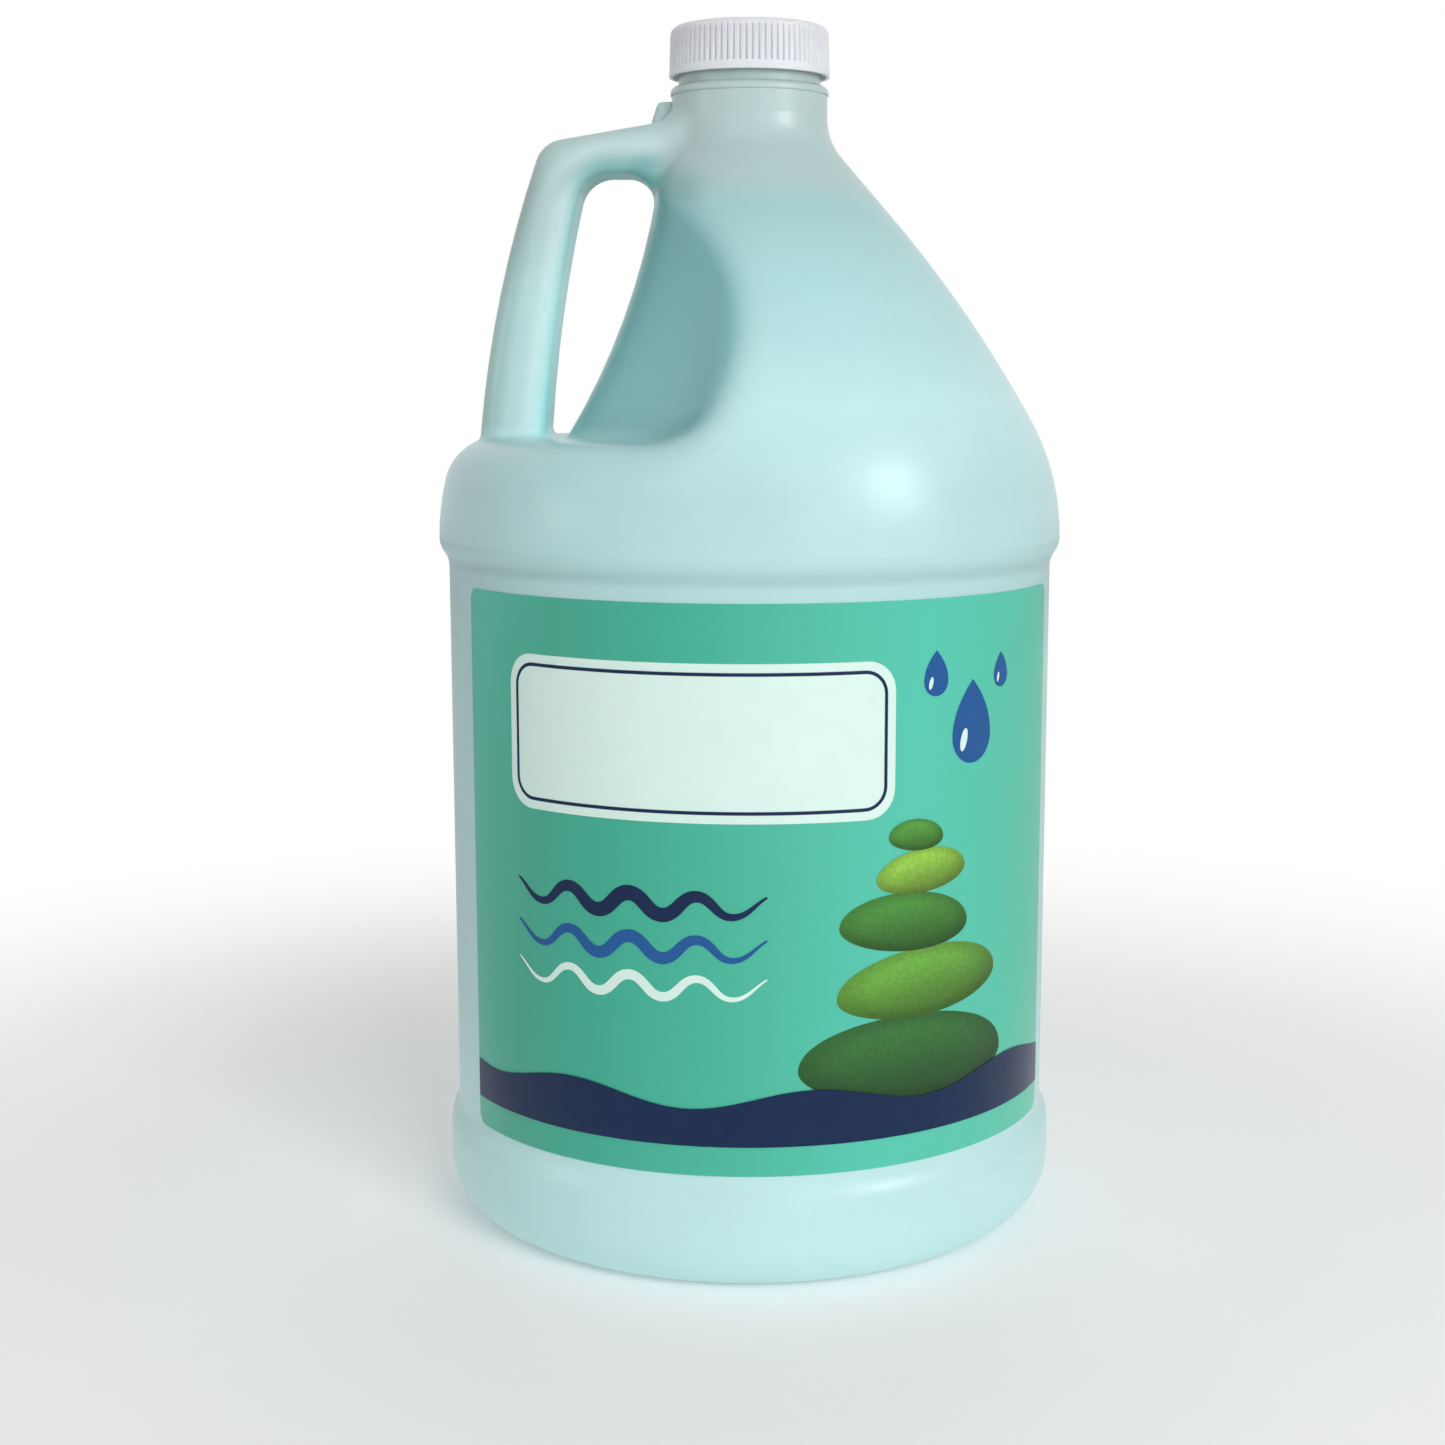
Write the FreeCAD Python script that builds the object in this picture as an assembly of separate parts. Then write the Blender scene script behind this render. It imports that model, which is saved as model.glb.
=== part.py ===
import FreeCAD, Part
import math
import os

# One-gallon round jug with a moulded handle, in millimetres and degrees.
# The jug's axis is Z and it stands on z = 0. The handle is on -X, the front is -Y.

# Body of revolution, from the foot upwards
push_up_depth = 6.0
push_up_rim = 20.0
foot_width = 8.0
base_corner = 13.0
base_radius = 77.1
base_band_height = 8.0
base_step_height = 7.8
panel_radius = 75.0
panel_height = 134.7
shoulder_step_height = 7.0
shoulder_radius = 77.3
shoulder_curve = 58.0
shoulder_turn = 29.5
cone_curve = 300.0
cone_turn = 11.5
neck_blend = 14.0
neck_radius = 18.95
neck_length = 5.2
wall = 1.0

# Finger pocket pinched into the cone on both sides of the handle
pocket_floor_rise = 24.2
pocket_flare = 36.0
pocket_flare_depth = 41.0
pocket_sections = 17
pocket_tip = 1.5
pocket_corner = 26.0
pocket_rim = 13.0
core_drop = 25.05
core_neck_gap = 4.95
core_top_lean = 12.12

# Hollow handle, and the gap for the fingers between its leg and the core wall
handle_width = 26.0
handle_bury = 10.0
handle_foot_inset = 10.2
leg_foot_depth = 16.7
leg_top_depth = 10.05
gap_foot_width = 5.35
gap_top_width = 16.15
handle_bow = 3.1
handle_drop = 6.4
handle_slope = 9.7
handle_corner = 7.5
handle_outer_round = 5.6
grip_bow = 2.0
grip_drop = 13.8
grip_corner = 8.0
handle_inner_round = 4.0
foot_blend = 2.4
arch_blend = 7.0

# Rib between the handle's top and the neck
lug_reach = 22.4
lug_rise = 3.8
lug_lean = 3.3
lug_width = 5.0
lug_round = 1.8

# Neck finish that the cap screws onto
bead_height = 2.2
bead_proud = 0.4
bead_slope = 1.6
bead_edge = 0.3
finish_radius = 17.3
finish_height = 11.4
bore_radius = 15.2

# Pinch-off seam across the push-up
seam_length = 80.0
seam_width = 1.4
seam_height = 0.7

# Screw cap and its liner
cap_gap = 2.3
cap_bore_radius = 18.65
cap_wall = 0.95
cap_taper = 0.4
cap_band_height = 2.0
cap_top_thickness = 1.8
cap_edge_round = 2.2
cap_top_recess = 0.3
cap_top_rim = 3.0
rib_count = 80
rib_depth = 0.32
rib_share = 0.42
liner_thickness = 1.0
liner_clearance = 0.35

# Film label on the panel; the front is angle 0 and the handle side is negative
label_from = -61.3
label_to = 71.7
label_bottom_margin = 0.3
label_height = 131.3
label_thickness = 0.15
label_corner = 3.0
glue_line = 0.05

# Lotion inside the jug
fill_below_neck = 19.2
fill_clearance = 0.3

V = FreeCAD.Vector
UP = V(0, 0, 1)
TOUCH = 0.01


class Outline:
    """A pen that draws tangent lines and arcs in the XZ plane, shifted to its left by the inset."""

    def __init__(self, x, z, inset):
        self.inset = inset
        self.heading = 0.0
        self.x = x
        self.z = z + inset
        self.edges = []

    def to(self, x, z):
        self.edges.append(Part.LineSegment(V(self.x, 0, self.z), V(x, 0, z)).toShape())
        self.x, self.z = x, z

    def line(self, length):
        self.to(self.x + length * math.cos(self.heading), self.z + length * math.sin(self.heading))

    def arc(self, radius, turn):
        side = math.copysign(1, turn)
        size = radius - side * self.inset
        centre_x = self.x - side * size * math.sin(self.heading)
        centre_z = self.z + side * size * math.cos(self.heading)

        def at(share):
            angle = self.heading + share * math.radians(turn)
            return V(centre_x + side * size * math.sin(angle), 0, centre_z - side * size * math.cos(angle))

        end = at(1)
        self.edges.append(Part.Arc(at(0), at(0.5), end).toShape())
        self.x, self.z = end.x, end.z
        self.heading += math.radians(turn)

    def step(self, run, shift):
        """An S bend that runs along the heading and shifts to the left of it."""
        bend = 2 * math.degrees(math.atan2(abs(shift), run))
        radius = run / (2 * math.sin(math.radians(bend)))
        side = math.copysign(1, shift)
        self.arc(radius, side * bend)
        self.arc(radius, -side * bend)


def trace_body(inset):
    """The jug's half outline from the middle of its base to the top of the plain neck."""
    pen = Outline(0, push_up_depth, inset)
    run = base_radius - base_corner - foot_width
    fall = 2 * math.degrees(math.atan2(push_up_depth, run))
    pen.arc(run / math.sin(math.radians(fall)) - push_up_rim, -fall)
    pen.arc(push_up_rim, fall)
    pen.line(foot_width)
    pen.arc(base_corner, 90)
    pen.line(base_band_height)
    pen.step(base_step_height, base_radius - panel_radius)
    pen.line(panel_height)
    pen.step(shoulder_step_height, panel_radius - shoulder_radius)
    pen.arc(shoulder_curve, shoulder_turn)
    pen.arc(cone_curve, cone_turn)
    slope = math.radians(shoulder_turn + cone_turn)
    cone_end = pen.x + inset * math.cos(slope)
    blend_run = neck_blend * (1 - math.cos(slope))
    pen.line((cone_end - neck_radius - blend_run) / math.sin(slope))
    pen.arc(neck_blend, -math.degrees(slope))
    pen.line(neck_length)
    return pen


neck_top = trace_body(0).z
neck_foot = neck_top - neck_length
panel_bottom = base_corner + base_band_height + base_step_height
shoulder_bottom = panel_bottom + panel_height + shoulder_step_height
pocket_floor = shoulder_bottom + pocket_floor_rise
handle_foot_reach = shoulder_radius - handle_foot_inset
grip_foot_reach = handle_foot_reach - leg_foot_depth
core_foot_reach = grip_foot_reach - gap_foot_width
core_top_reach = neck_radius + core_neck_gap
grip_top_reach = core_top_reach + gap_top_width
handle_top_reach = grip_top_reach + leg_top_depth
finish_foot = neck_top + bead_height
finish_top = finish_foot + finish_height
cap_bottom = finish_foot + cap_gap
cap_ceiling = finish_top + liner_thickness
cap_top = cap_ceiling + cap_top_thickness
fill_level = neck_foot - fill_below_neck


def midpoint(edge):
    return edge.valueAt((edge.FirstParameter + edge.LastParameter) / 2)


def edges_on(shape, *skins):
    """The edges of a shape that lie on the surface of every other shape given."""
    def lies_on(edge, skin):
        return skin.Shells[0].distToShape(Part.Vertex(midpoint(edge)))[0] < TOUCH
    return [edge for edge in shape.Edges if all(lies_on(edge, skin) for skin in skins)]


def edges_where(shape, test):
    return [edge for edge in shape.Edges if test(midpoint(edge))]


def outward(reach, height):
    """A point in the handle's plane, at a reach from the axis."""
    return V(-reach, 0, height)


def bowed_arc(start, end, bow):
    """An arc between two points of the handle's plane, bowed to the left of the way from start to end."""
    chord = end - start
    left = V(-chord.z, 0, chord.x).normalize()
    return Part.Arc(start, (start + end) * 0.5 + left * bow, end).toShape()


def polygon(points):
    return Part.makePolygon(points + points[:1]).Edges


def slab(edges, width):
    """A flat solid from an outline in the XZ plane, centred on that plane."""
    solid = Part.Face(Part.Wire(edges)).extrude(V(0, width, 0))
    solid.translate(V(0, -width / 2, 0))
    return solid


def revolved_body(inset):
    pen = trace_body(inset)
    pen.to(0, pen.z)
    pen.to(0, push_up_depth + inset)
    return Part.Face(Part.Wire(pen.edges)).revolve(V(0, 0, 0), UP, 360)


def pocket_drift(station):
    """How far the core wall has drawn back from the pinch plane at a station along Y."""
    depth = (station / pocket_flare_depth) ** 4
    return pocket_flare * depth / (1 + depth)


def core_circle():
    """The circle that the core wall follows in the pinch plane, so that it leans as set at its top."""
    foot = outward(core_foot_reach, pocket_floor)
    top = outward(core_top_reach, neck_foot - core_drop)
    chord = top - foot
    turn = math.atan2(chord.x, chord.z) - math.radians(core_top_lean)
    return bowed_arc(foot, top, -chord.Length / 2 * math.tan(turn / 2)).Curve


def pocket_section(station, inset):
    """The pocket's outline across the jug at one station along Y: floor, corner and core wall."""
    shift = pocket_drift(station)
    core = core_circle()
    lean = pocket_drift(station + TOUCH) - pocket_drift(station - TOUCH)
    radius = core.Radius + inset * math.hypot(1, lean / (2 * TOUCH))
    corner = pocket_tip + (pocket_corner - pocket_tip) * (station / shoulder_radius) ** 2 + inset
    floor = pocket_floor - inset
    top = neck_top + pocket_corner
    left = -shoulder_radius - pocket_rim
    centre = V(core.Center.x + shift, station, core.Center.z)
    corner_height = floor + corner - centre.z
    corner_centre = centre + V(math.sqrt((radius - corner) ** 2 - corner_height ** 2), 0, corner_height)
    meet = math.atan2(corner_height, corner_centre.x - centre.x)
    end = math.asin((top - centre.z) / radius)

    def round_from(middle, size, first, last):
        angles = (first, (first + last) / 2, last)
        points = [middle + V(size * math.cos(angle), 0, size * math.sin(angle)) for angle in angles]
        return Part.Arc(*points).toShape()

    wall_edge = round_from(centre, radius, meet, end)
    corner_edge = round_from(corner_centre, corner, -math.pi / 2, meet)
    floor_end = corner_edge.firstVertex().Point
    wall_end = wall_edge.lastVertex().Point
    far_top, far_floor = V(left, station, top), V(left, station, floor)
    lines = [Part.LineSegment(a, b).toShape()
             for a, b in ((wall_end, far_top), (far_top, far_floor), (far_floor, floor_end))]
    return Part.Wire([corner_edge, wall_edge] + lines)


def finger_pocket(inset):
    """What the two halves of the mould pinch away: open at the handle's side, with a drafted core wall."""
    reach = shoulder_radius + pocket_rim
    spacing = 2 * reach / (pocket_sections - 1)
    stations = [index * spacing - reach for index in range(pocket_sections)]
    return Part.makeLoft([pocket_section(station, inset) for station in stations], True, False)


def handle(inset):
    """The handle's leg and arch as one blade, rounded in its plane and along its edges."""
    root = pocket_floor - handle_bury
    inside = neck_radius / 4
    leg_foot = outward(handle_foot_reach - inset, root)
    crown = outward(handle_top_reach - inset, neck_foot - handle_drop - inset)
    crown_rise = (handle_top_reach - inside) * math.tan(math.radians(handle_slope))
    crown_end = outward(inside, crown.z + crown_rise)
    grip_crown = outward(grip_top_reach + inset, neck_foot - grip_drop + inset)
    grip_end = outward(inside, grip_crown.z)
    grip_foot = outward(grip_foot_reach + inset, root)
    arch = [crown, crown_end, grip_end, grip_crown]
    outline = [bowed_arc(leg_foot, crown, handle_bow)]
    outline += [Part.LineSegment(start, end).toShape() for start, end in zip(arch, arch[1:])]
    outline.append(bowed_arc(grip_crown, grip_foot, -grip_bow))
    outline.append(Part.LineSegment(grip_foot, leg_foot).toShape())
    width = handle_width - 2 * inset
    blade = slab(outline, width)
    for corner, size in ((crown, handle_corner - inset), (grip_crown, grip_corner + inset)):
        blade = blade.makeFillet(size, edges_where(blade, lambda m: m.distanceToPoint(corner) < TOUCH))
    lean = (handle_foot_reach - handle_top_reach) / (crown.z - root)
    leg_middle = (handle_foot_reach + grip_foot_reach) / 2
    arch_middle = (crown.z + grip_crown.z) / 2

    def on_rim(m):
        return abs(abs(m.y) - width / 2) < TOUCH and m.z > root + TOUCH and m.x < -inside - TOUCH

    def on_outside(m):
        return m.z > arch_middle or lean * (m.z - root) - m.x > leg_middle

    outer_rim = edges_where(blade, lambda m: on_rim(m) and on_outside(m))
    blade = blade.makeFillet(handle_outer_round - inset, outer_rim)
    inner_rim = edges_where(blade, lambda m: on_rim(m) and not on_outside(m))
    return blade.makeFillet(handle_inner_round - inset, inner_rim)


def jug_form(inset):
    """The jug's closed form up to its plain neck, a distance inside the outer skin."""
    body, pocket, grip = revolved_body(inset), finger_pocket(inset), handle(inset)
    pinched = body.cut(pocket)
    pinched = pinched.makeFillet(pocket_rim - inset, edges_on(pinched, pocket, body))
    return pinched, grip, pinched.fuse(grip)


def neck_lug():
    """The rib that stiffens the neck above the handle's arch."""
    inside = neck_radius / 2
    foot = neck_foot - handle_drop
    top = neck_foot + lug_rise
    corners = [outward(inside, foot), outward(lug_reach + lug_lean, foot), outward(lug_reach, top),
               outward(inside, top)]
    rib = slab(polygon(corners), lug_width)
    outer_edges = edges_where(rib, lambda m: -m.x > lug_reach - TOUCH and m.z > foot + TOUCH)
    return rib.makeFillet(lug_round, outer_edges)


def pinch_off_seam():
    """The low ridge that the closed mould leaves across the push-up."""
    box = Part.makeBox(seam_length, seam_width, base_corner, V(-seam_length / 2, -seam_width / 2, 0))
    return box.common(revolved_body(-seam_height)).cut(revolved_body(0))


def jug_body():
    """The blow-moulded bottle: one hollow wall, with the handle open to the inside."""
    pinched, grip, form = jug_form(0)
    handle_middle = (pocket_floor + neck_foot) / 2
    roots = edges_on(form, pinched, grip)
    form = form.makeFillet(foot_blend, [root for root in roots if midpoint(root).z < handle_middle])
    roots = edges_on(form, pinched, grip)
    form = form.makeFillet(arch_blend, [root for root in roots if midpoint(root).z > handle_middle])
    bead = Part.makeCylinder(neck_radius + bead_proud, bead_height, V(0, 0, neck_top))
    bead = bead.makeFillet(bead_slope, edges_where(bead, lambda m: m.z > finish_foot - TOUCH))
    bead = bead.makeFillet(bead_edge, edges_where(bead, lambda m: m.z < neck_top + TOUCH))
    finish = Part.makeCylinder(finish_radius, finish_height, V(0, 0, finish_foot))
    bore = Part.makeCylinder(bore_radius, finish_top - neck_foot, V(0, 0, neck_foot))
    solid = form.fuse([neck_lug(), pinch_off_seam(), bead, finish])
    return solid.cut([jug_form(wall)[2], bore]).removeSplitter()


def lotion_fill():
    """The contents, up to the fill level, a hair clear of the jug's inner wall."""
    form = jug_form(wall + fill_clearance)[2]
    reach = 2 * shoulder_radius
    return form.common(Part.makeBox(2 * reach, 2 * reach, fill_level, V(-reach, -reach, 0)))


def ribbed_prism(root, crest, bottom, top):
    """A toothed prism: each rib is a flat-topped tooth standing on the root circle."""
    pitch = 2 * math.pi / rib_count
    land = rib_share * pitch / 2
    points = []
    for rib in range(rib_count):
        middle = rib * pitch
        for angle, radius in ((-pitch / 2, root), (-land, crest), (land, crest)):
            points.append(V(radius * math.cos(middle + angle), radius * math.sin(middle + angle), bottom))
    return Part.Face(Part.Wire(polygon(points))).extrude(V(0, 0, top - bottom))


def screw_cap():
    """The moulded cap: a tapered ribbed skirt over a plain band, closed by a flat top."""
    radius = cap_bore_radius + cap_wall
    band_top = cap_bottom + cap_band_height
    height = cap_top - cap_bottom
    skin = Part.makeCone(radius, radius - cap_taper, height, V(0, 0, cap_bottom))
    skin = skin.makeFillet(cap_edge_round, edges_where(skin, lambda m: m.z > cap_top - TOUCH))
    root = radius - cap_taper - rib_depth
    core = Part.makeCylinder(root, height, V(0, 0, cap_bottom))
    band = Part.makeCylinder(radius, cap_band_height, V(0, 0, cap_bottom))
    cap = skin.common(ribbed_prism(root, radius, band_top, cap_top).fuse([core, band]))
    hollow = Part.makeCylinder(cap_bore_radius, cap_ceiling - cap_bottom, V(0, 0, cap_bottom))
    recess = Part.makeCylinder(radius - cap_top_rim, cap_top_recess, V(0, 0, cap_top - cap_top_recess))
    return cap.cut([hollow, recess]).removeSplitter()


def cap_liner():
    """The foam disc that the cap presses on the mouth."""
    return Part.makeCylinder(cap_bore_radius - liner_clearance, liner_thickness, V(0, 0, finish_top))


def label():
    """The printed film, wrapped round the front of the panel."""
    inner = panel_radius + glue_line
    bottom = panel_bottom + label_bottom_margin
    outer = inner + label_thickness
    top = bottom + label_height
    section = polygon([V(inner, 0, bottom), V(outer, 0, bottom), V(outer, 0, top), V(inner, 0, top)])
    film = Part.Face(Part.Wire(section)).revolve(V(0, 0, 0), UP, label_to - label_from)
    film.rotate(V(0, 0, 0), UP, label_from - 90)
    corners = [edge for edge in film.Edges if abs(edge.Length - label_thickness) < TOUCH]
    return film.makeFillet(label_corner, corners)


os.makedirs("parts", exist_ok=True)
for piece in (jug_body, screw_cap, cap_liner, label, lotion_fill):
    solid = piece()
    state = "valid" if solid.isValid() else "NOT VALID"
    print(piece.__name__, state, len(solid.Solids), "solid", round(solid.Volume), "mm3")
    solid.exportStep(f"parts/{piece.__name__}.step")
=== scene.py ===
# %% [markdown]
# A one-gallon jug of massage lotion: a milky blow-moulded bottle with a handle, a ribbed screw cap
# and a glossy film label. The solids come from the CAD model and stay as they are. This lesson
# gives them their finishes and adds what is too fine for CAD: the screw threads, the mould's
# parting lines and the label's print.

# %% Load the CAD model
import math
import bpy
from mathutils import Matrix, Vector


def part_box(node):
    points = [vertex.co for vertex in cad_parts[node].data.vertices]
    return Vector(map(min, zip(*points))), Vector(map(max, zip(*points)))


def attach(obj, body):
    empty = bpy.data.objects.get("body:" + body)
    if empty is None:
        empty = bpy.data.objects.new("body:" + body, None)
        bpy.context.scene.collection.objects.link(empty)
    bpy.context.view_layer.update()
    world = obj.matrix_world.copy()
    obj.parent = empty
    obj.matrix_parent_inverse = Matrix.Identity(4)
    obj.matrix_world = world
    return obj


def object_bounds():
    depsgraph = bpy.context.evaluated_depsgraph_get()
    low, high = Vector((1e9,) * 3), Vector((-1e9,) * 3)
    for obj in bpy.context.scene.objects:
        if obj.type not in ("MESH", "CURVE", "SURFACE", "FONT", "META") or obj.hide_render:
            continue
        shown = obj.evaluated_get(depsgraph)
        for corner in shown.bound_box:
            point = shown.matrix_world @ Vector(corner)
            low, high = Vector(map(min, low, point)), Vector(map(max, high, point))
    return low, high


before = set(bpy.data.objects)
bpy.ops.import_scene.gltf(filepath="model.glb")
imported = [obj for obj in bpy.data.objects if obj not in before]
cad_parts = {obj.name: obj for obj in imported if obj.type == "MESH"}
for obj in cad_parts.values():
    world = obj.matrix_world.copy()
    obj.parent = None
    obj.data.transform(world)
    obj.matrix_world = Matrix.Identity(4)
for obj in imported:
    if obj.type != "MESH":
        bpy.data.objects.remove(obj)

MM = 0.001
cad_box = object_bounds()
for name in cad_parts:
    low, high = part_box(name)
    print(name, [round(v / MM, 1) for v in low], "to", [round(v / MM, 1) for v in high], "mm")

# %% [markdown]
# The photograph was taken from a little above the jug's middle with a slightly long lens. A camera
# is only a place, a direction and a lens, so it is set from those three. The frame is shifted
# sideways, not turned, because the jug's axis stands a little right of the middle and its sides
# must stay upright.

# %% Camera
DISTANCE, EYE_HEIGHT = 571.79 * MM, 210.7 * MM
LOOK_DOWN = 8.769
LENS, SENSOR = 56.573, 36
FRAME_WIDTH, AXIS_OFF_MIDDLE = 1445, 27
camera = bpy.data.objects.new("camera", bpy.data.cameras.new("camera"))
bpy.context.scene.collection.objects.link(camera)
camera.location = (0, -DISTANCE, EYE_HEIGHT)
camera.rotation_euler = (math.radians(90 - LOOK_DOWN), 0, 0)
camera.data.lens = LENS
camera.data.sensor_width = SENSOR
camera.data.shift_x = -AXIS_OFF_MIDDLE / FRAME_WIDTH
bpy.context.scene.camera = camera
print("camera", round(DISTANCE, 3), "m away with a lens of", round(LENS, 1), "mm")

# %% [markdown]
# Two small helpers serve every material. Colours are written as on a paint chart, in sRGB, and the
# shader wants linear light, so one function converts them. The other adds a node, gives it its
# settings and joins its inputs. Two more start a material and put it on a piece.

# %% Colour and node helpers
def paint(code):
    """A colour written as six hex digits, as the linear RGBA that a shader takes."""
    shares = [int(code[place:place + 2], 16) / 255 for place in (0, 2, 4)]
    return [s / 12.92 if s <= 0.04045 else ((s + 0.055) / 1.055) ** 2.4 for s in shares] + [1]


def add(tree, kind, inputs=None, **settings):
    """A new node with its settings; each input is a value, or the output of another node."""
    node = tree.nodes.new(kind)
    for name, value in settings.items():
        setattr(node, name, value)
    for name, value in (inputs or {}).items():
        if isinstance(value, bpy.types.NodeSocket):
            tree.links.new(value, node.inputs[name])
        else:
            node.inputs[name].default_value = value
    return node


def new_material(name):
    """A material with its node tree and its main shader."""
    material = bpy.data.materials.new(name)
    material.use_nodes = True
    return material, material.node_tree, material.node_tree.nodes["Principled BSDF"]


def dress(piece, material):
    """Gives the piece this material and no other."""
    piece.data.materials.clear()
    piece.data.materials.append(material)


print("white is", [round(v, 3) for v in paint("FFFFFF")])

# %% [markdown]
# The jug stands on a white paper sweep, as in a small product studio. The floor could be one huge
# white plane, but it would need more light than the jug can take to look white. So the floor fades
# into the white world away from the jug, where only the contact shadow has to show. Close to the
# jug the paper also glows a little for every ray but the camera's, which lights the jug's foot as a
# reflector card would.

# %% Floor
FLOOR_RADIUS = 3
FADE_FROM, FADE_TO = 0.1, 0.5
BOUNCE_GLOW, BOUNCE_GLOW_END = 0.18, 0.3
CAMERA_GLOW = 0.15
bpy.ops.object.select_all(action="DESELECT")
bpy.ops.mesh.primitive_circle_add(vertices=96, radius=FLOOR_RADIUS, fill_type="NGON")
floor = bpy.context.object
floor.name = "floor"
paper, tree, shader = new_material("white_paper_sweep")
shader.inputs["Base Color"].default_value = paint("F4F4F4")
shader.inputs["Roughness"].default_value = 0.9
shader.inputs["Specular IOR Level"].default_value = 0.1
place = add(tree, "ShaderNodeTexCoord").outputs["Object"]
away = add(tree, "ShaderNodeVectorMath", {0: place}, operation="LENGTH").outputs["Value"]
to_camera = add(tree, "ShaderNodeLightPath").outputs["Is Camera Ray"]
# A glow close to the jug, unseen by the camera, that lights the jug's foot.
bounce_glow = add(tree, "ShaderNodeMapRange",
             {"Value": away, "From Min": FADE_FROM, "From Max": BOUNCE_GLOW_END,
              "To Min": BOUNCE_GLOW, "To Max": 0.0}, interpolation_type="SMOOTHSTEP")
glow = add(tree, "ShaderNodeMix", {0: to_camera, 2: bounce_glow.outputs[0], 3: CAMERA_GLOW})
shader.inputs["Emission Color"].default_value = paint("FFFFFF")
tree.links.new(glow.outputs[0], shader.inputs["Emission Strength"])
fade = add(tree, "ShaderNodeMapRange",
           {"Value": away, "From Min": FADE_FROM, "From Max": FADE_TO},
           interpolation_type="SMOOTHERSTEP")
seen = add(tree, "ShaderNodeMath", {0: fade.outputs[0], 1: to_camera}, operation="MULTIPLY")
clear = add(tree, "ShaderNodeBsdfTransparent")
mixed = add(tree, "ShaderNodeMixShader",
            {0: seen.outputs[0], 1: shader.outputs[0], 2: clear.outputs[0]})
tree.links.new(mixed.outputs[0], tree.nodes["Material Output"].inputs["Surface"])
dress(floor, paper)
print("floor", round(floor.dimensions.x, 1), "m across")

# %% [markdown]
# The room is white too. At full strength it would light the jug flat from all sides, so it gives
# only part of that as light and shows its full white to the camera, in reflections and through
# clear things.

# %% World
ROOM_LIGHT, ROOM_SEEN = 0.38, 1.0
world = bpy.data.worlds.new("white_room")
bpy.context.scene.world = world
world.use_nodes = True
tree = world.node_tree
rays = add(tree, "ShaderNodeLightPath").outputs
either = add(tree, "ShaderNodeMath", {0: rays["Is Camera Ray"], 1: rays["Is Glossy Ray"]},
             operation="MAXIMUM")
shown = add(tree, "ShaderNodeMath", {0: either.outputs[0], 1: rays["Is Transmission Ray"]},
            operation="MAXIMUM")
strength = add(tree, "ShaderNodeMapRange",
               {"Value": shown.outputs[0], "To Min": ROOM_LIGHT, "To Max": ROOM_SEEN})
back = tree.nodes["Background"]
back.inputs["Color"].default_value = (1, 1, 1, 1)
tree.links.new(strength.outputs[0], back.inputs["Strength"])
print("room light", ROOM_LIGHT)

# %% [markdown]
# One large soft box in front on the right models the body and leaves the pocket behind the handle
# in shade; it is kept out of reflections, where it would be a broad glare. A smaller one further
# round shows in reflections alone: it stands where the shoulder mirrors it to the camera, which
# gives the bright spot there. A weak one on the left opens the shadows, another for reflections
# beside it draws the pale stripe down the handle, and one behind keeps the back readable.

# %% Lamps
LAMPS_AIM = Vector((0, 0, 0.15))


def softbox(name, place, size, watts, hidden_from):
    """A square lamp that points at the jug and is hidden from one kind of ray."""
    lamp = bpy.data.objects.new(name, bpy.data.lights.new(name, "AREA"))
    bpy.context.scene.collection.objects.link(lamp)
    lamp.data.size = size
    lamp.data.energy = watts
    lamp.location = place
    lamp.rotation_euler = (LAMPS_AIM - lamp.location).to_track_quat("-Z", "Y").to_euler()
    setattr(lamp, "visible_" + hidden_from, False)
    print(name, watts, "W")


softbox("key_light", (0.56, -1.18, 0.64), 0.7, 10.8, "glossy")
softbox("side_light", (0.92, -0.66, 0.66), 0.42, 4.4, "diffuse")
softbox("fill_light", (-1.1, -0.7, 0.35), 0.4, 1.2, "glossy")
softbox("stripe_light", (-1.2, -0.45, 0.4), 0.25, 0.6, "diffuse")
softbox("back_light", (0.1, 1.3, 0.5), 0.9, 4.5, "glossy")
bpy.context.scene.view_settings.view_transform = "Standard"

# %% [markdown]
# Most finishes change along a length of the object: up the jug, or across its handle. One helper
# runs through a row of colours along such a length, in millimetres. The others bound a zone softly,
# by steps or by an oval, and shade a colour inside it.

# %% Helpers for tints and zones
def tint_along(tree, length, stops):
    """A colour that changes along a length; a stop is a place in millimetres and a hex colour."""
    low, high = stops[0][0] * MM, stops[-1][0] * MM
    share = add(tree, "ShaderNodeMapRange", {"Value": length, "From Min": low, "From Max": high})
    ramp = add(tree, "ShaderNodeValToRGB", {"Fac": share.outputs[0]})
    elements = ramp.color_ramp.elements
    elements[0].color, elements[-1].color = paint(stops[0][1]), paint(stops[-1][1])
    for at, code in stops[1:-1]:
        elements.new((at * MM - low) / (high - low)).color = paint(code)
    return ramp.outputs[0]


def zone(tree, *steps):
    """A mask that is full past every step; a step is a length, its start and end in millimetres."""
    mask = None
    for length, start, end in steps:
        step = add(tree, "ShaderNodeMapRange",
                   {"Value": length, "From Min": start * MM, "From Max": end * MM},
                   interpolation_type="SMOOTHSTEP").outputs[0]
        mask = step if mask is None else add(tree, "ShaderNodeMath", {0: mask, 1: step},
                                             operation="MULTIPLY").outputs[0]
    return mask


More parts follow.
